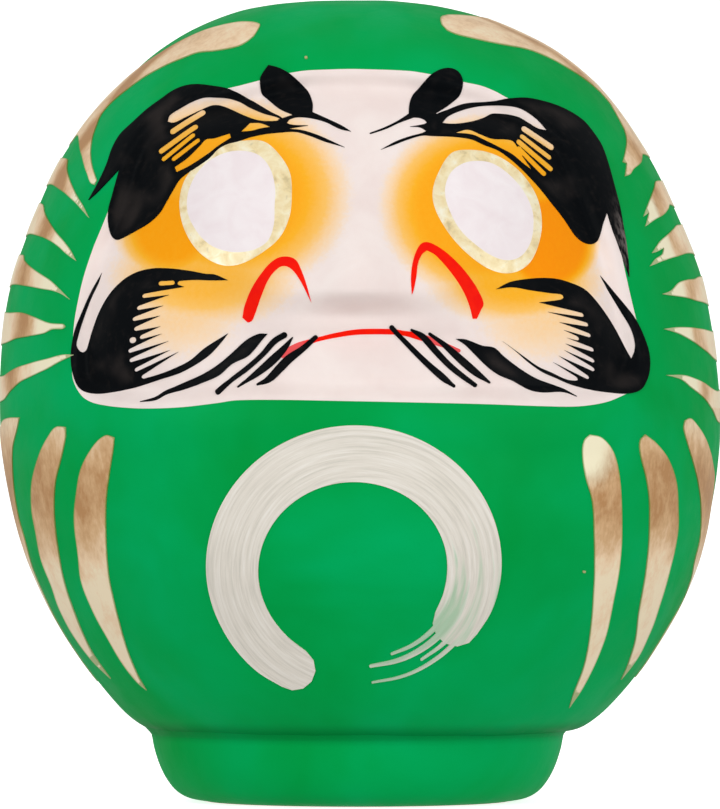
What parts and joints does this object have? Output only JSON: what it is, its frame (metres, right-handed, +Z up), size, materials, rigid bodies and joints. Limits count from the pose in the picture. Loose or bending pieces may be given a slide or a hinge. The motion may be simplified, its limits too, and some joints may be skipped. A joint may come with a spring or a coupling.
{
  "type": "daruma doll",
  "caption": "Round hollow papier-mache tumbler doll with a recessed painted face, standing on a shallow weighted foot tray.",
  "frame": {"origin": "centre of the underside of the foot, on the surface that the doll stands on", "axes": "+Z up, the face looks along -Y, +X to the right of someone who looks at the face"},
  "size_m": [0.1801, 0.1715, 0.2],
  "materials": {
    "painted_shell": "satin",
    "face_paint": "matte",
    "gold_paint": "satin",
    "black_paint": "satin",
    "red_paint": "satin",
    "white_paint": "matte",
    "kraft_paper": "matte",
    "grey_card": "matte",
    "fired_clay": "matte"
  },
  "bodies": {
    "root": {"front_shell": "painted_shell", "back_shell": "painted_shell", "seam_strip": "kraft_paper", "mouth_disc": "grey_card", "foot_tray": "painted_shell", "foot_weight": "fired_clay", "foot_lid": "grey_card", "base_paper": "kraft_paper"}
  },
  "joints": []
}
